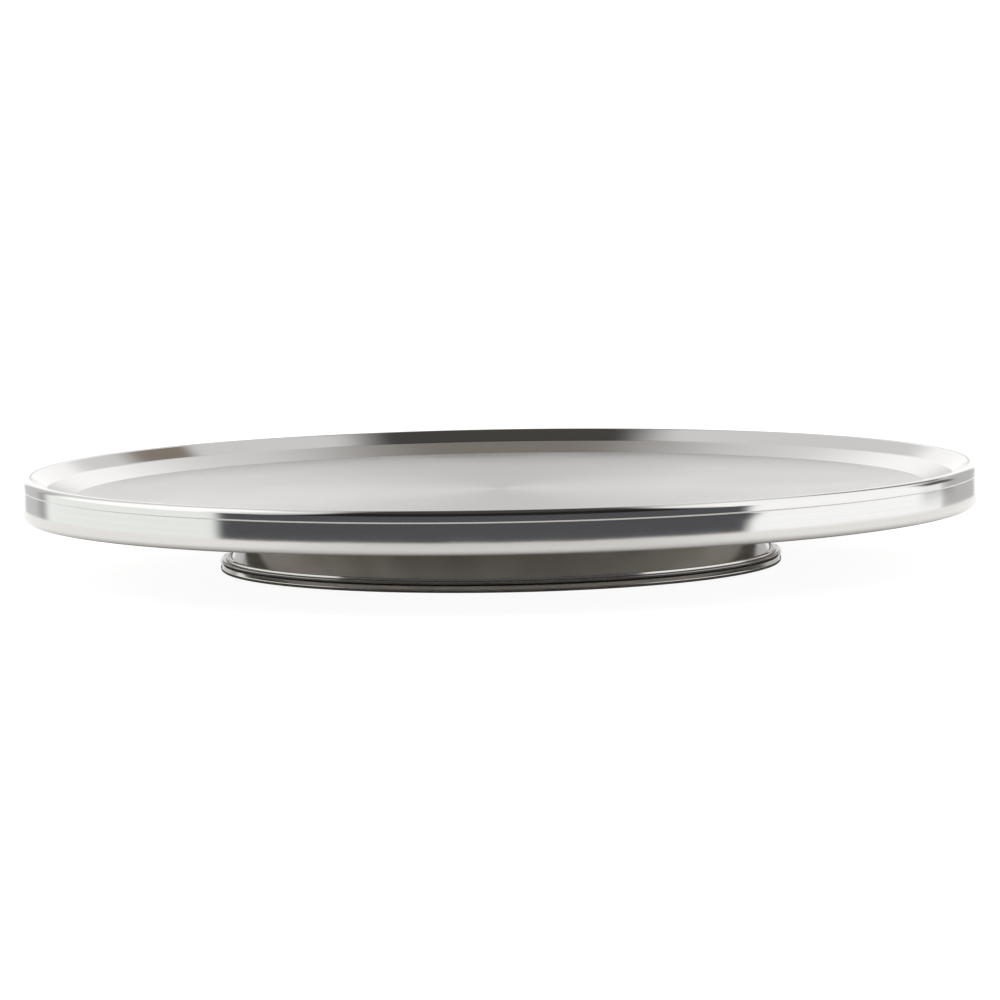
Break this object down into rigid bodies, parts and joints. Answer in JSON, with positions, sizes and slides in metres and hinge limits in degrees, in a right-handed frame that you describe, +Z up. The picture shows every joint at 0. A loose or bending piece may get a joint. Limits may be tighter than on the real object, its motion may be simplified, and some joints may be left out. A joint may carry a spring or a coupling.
{
  "type": "cake turntable",
  "caption": "Low round stainless cake turntable: a wide plate with a raised rolled rim that spins on a ball ring above a small closed base with rubber feet.",
  "frame": {"origin": "on the axis of rotation, in the plane that the rubber feet stand on", "axes": "+Z up along the axis of rotation; +X runs through a rubber foot"},
  "size_m": [0.305, 0.305, 0.0322],
  "materials": {
    "plate_stainless": "stainless steel, circular satin well with a polished lip and skirt",
    "base_stainless": "stainless steel, bright drawn",
    "zinc_plated_steel": "zinc-plated pressed steel",
    "rivet_steel": "bright steel, set or driven",
    "turned_steel": "turned steel",
    "spring_steel": "phosphated spring steel",
    "ball_steel": "polished bearing steel",
    "bronze": "sintered bronze",
    "nylon": "natural moulded nylon",
    "black_rubber": "matt black rubber"
  },
  "bodies": {
    "base": {"base_shell": "base_stainless", "deck_stiffener": "zinc_plated_steel", "lower_race": "zinc_plated_steel", "lower_race_rivets": "rivet_steel", "centre_bush": "bronze", "thrust_washer": "nylon", "base_pan": "base_stainless", "seam_gasket": "black_rubber", "cover_posts": "zinc_plated_steel", "cover_screws": "rivet_steel", "rubber_feet": "black_rubber"},
    "ball_ring": {"ball_cage": "nylon", "bearing_balls": "ball_steel"},
    "turntable": {"plate": "plate_stainless", "carrier_disc": "zinc_plated_steel", "upper_race": "zinc_plated_steel", "upper_race_rivets": "rivet_steel", "spindle": "turned_steel", "disc_spring": "spring_steel", "spindle_washer": "zinc_plated_steel", "lock_nut": "zinc_plated_steel", "lock_nut_insert": "nylon"}
  },
  "joints": [
    {"name": "plate_spin", "type": "hinge", "parent": "base", "child": "turntable", "pos_m": [0, 0, 0.0166], "axis": [0, 0, 1], "continuous": true},
    {"name": "ball_ring_spin", "type": "hinge", "parent": "base", "child": "ball_ring", "pos_m": [0, 0, 0.01955], "axis": [0, 0, 1], "continuous": true}
  ],
  "couplings": [
    {"joint": "ball_ring_spin", "follows": "plate_spin", "ratio": 0.5}
  ]
}
